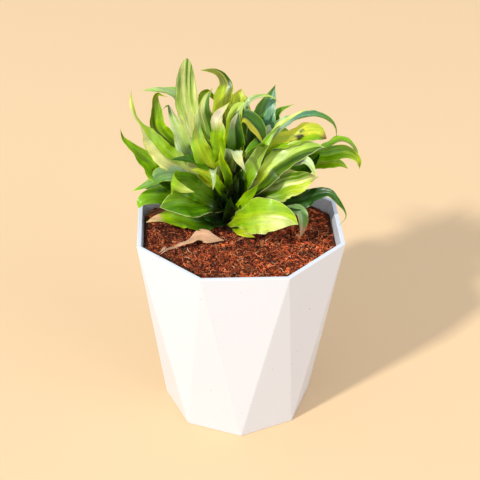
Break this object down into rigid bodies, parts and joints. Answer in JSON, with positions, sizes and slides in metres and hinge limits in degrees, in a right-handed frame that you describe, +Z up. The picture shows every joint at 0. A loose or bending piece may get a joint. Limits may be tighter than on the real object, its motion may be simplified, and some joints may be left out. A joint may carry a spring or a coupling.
{
  "type": "potted compacta dracaena",
  "caption": "Small dracaena with pointed, twisted, lime-striped leaves on a short cane, in a white faceted octagonal planter filled with coco peat.",
  "frame": {"origin": "middle of the planter's flat underside, on the surface that it stands on", "axes": "+Z up; -Y is the front, where the rim has a flat side and the dry leaf lies to the left"},
  "size_m": [0.1507, 0.128, 0.2361],
  "materials": {
    "planter_white": "smooth moulded plastic with a soft gloss",
    "coco_peat": "loose reddish brown coconut fibre, matt",
    "leaf_green": "waxy living leaf, striped lime, cream and green",
    "dry_leaf": "dry tan leaf, matt"
  },
  "bodies": {
    "root": {"pot": "planter_white", "soil": "coco_peat", "leafy_cane": "leaf_green", "dried_leaf": "dry_leaf"}
  },
  "joints": []
}
